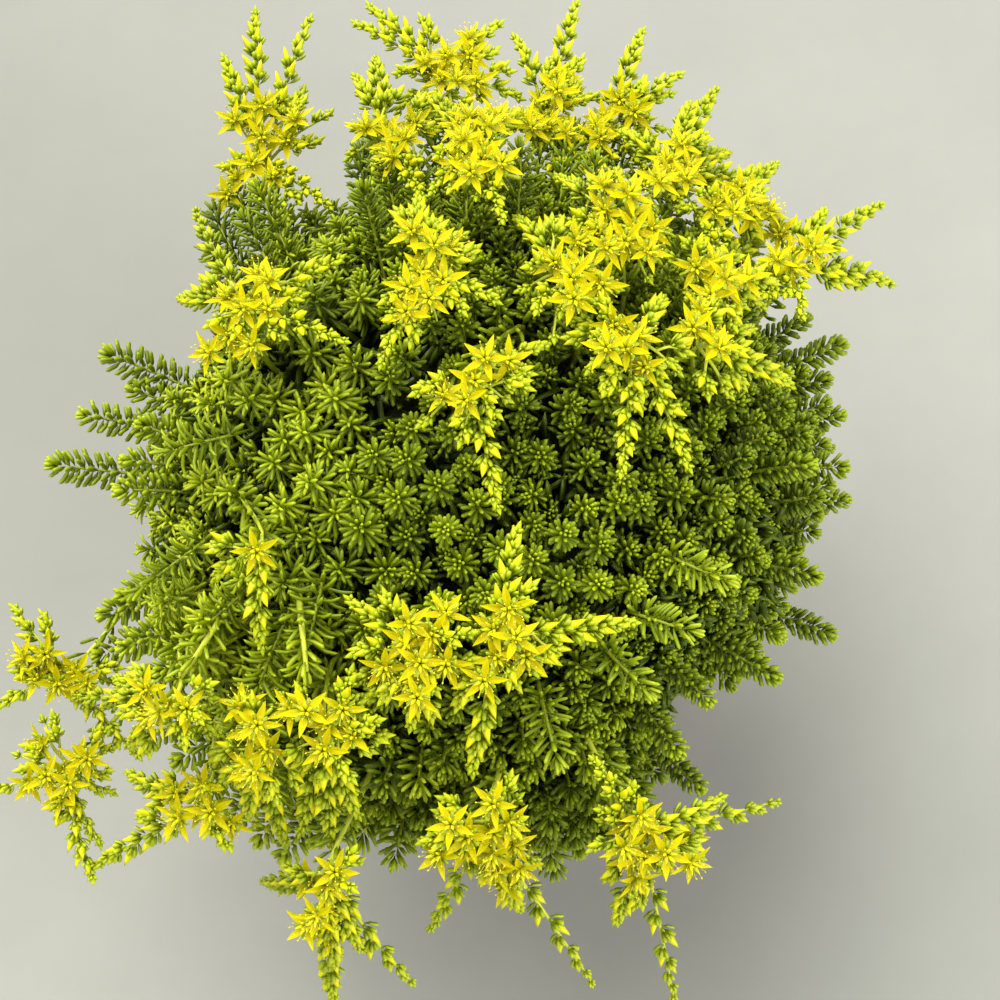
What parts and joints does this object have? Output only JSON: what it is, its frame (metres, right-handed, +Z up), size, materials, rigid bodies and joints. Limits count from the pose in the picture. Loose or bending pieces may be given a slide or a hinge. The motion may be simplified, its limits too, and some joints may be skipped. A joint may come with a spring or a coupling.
{
  "type": "potted flowering cushion plant",
  "caption": "Cushion-forming succulent in a plain tapered pot, its dome of leafy shoots topped with sprays of small yellow star flowers that hang over the edge.",
  "frame": {"origin": "centre of the pot's foot, on the surface it stands on", "axes": "+Z up through the pot's axis, +X to the right and -Y toward the side that the picture shows"},
  "size_m": [0.1811, 0.1951, 0.1594],
  "materials": {
    "pot": "matte",
    "soil": "matte",
    "leaves": "satin",
    "flowers": "satin"
  },
  "bodies": {
    "root": {"pot": "pot", "soil": "soil", "cushion": "leaves", "spray_back_left": "flowers", "spray_left_high": "flowers", "spray_back_bent": "flowers", "spray_back_inner": "flowers", "spray_crown_left": "flowers", "spray_crown_front": "flowers", "spray_back_mid": "flowers", "spray_back_right": "flowers", "spray_right_back": "flowers", "spray_right_high": "flowers", "spray_right_long": "flowers", "spray_right_mid": "flowers", "spray_crown_right": "flowers", "spray_crown_mid": "flowers", "spray_front_right": "flowers", "spray_right_low": "flowers", "spray_back_crown": "flowers", "spray_front_left": "flowers", "spray_front_mid": "flowers", "spray_left_small": "flowers", "spray_left_reach": "flowers", "spray_left_trail": "flowers", "spray_left_low": "flowers", "spray_left_front": "flowers", "spray_low_left": "flowers", "spray_low_outer": "flowers", "spray_hang_left": "flowers", "spray_hang_mid": "flowers", "spray_hang_right": "flowers"}
  },
  "joints": []
}
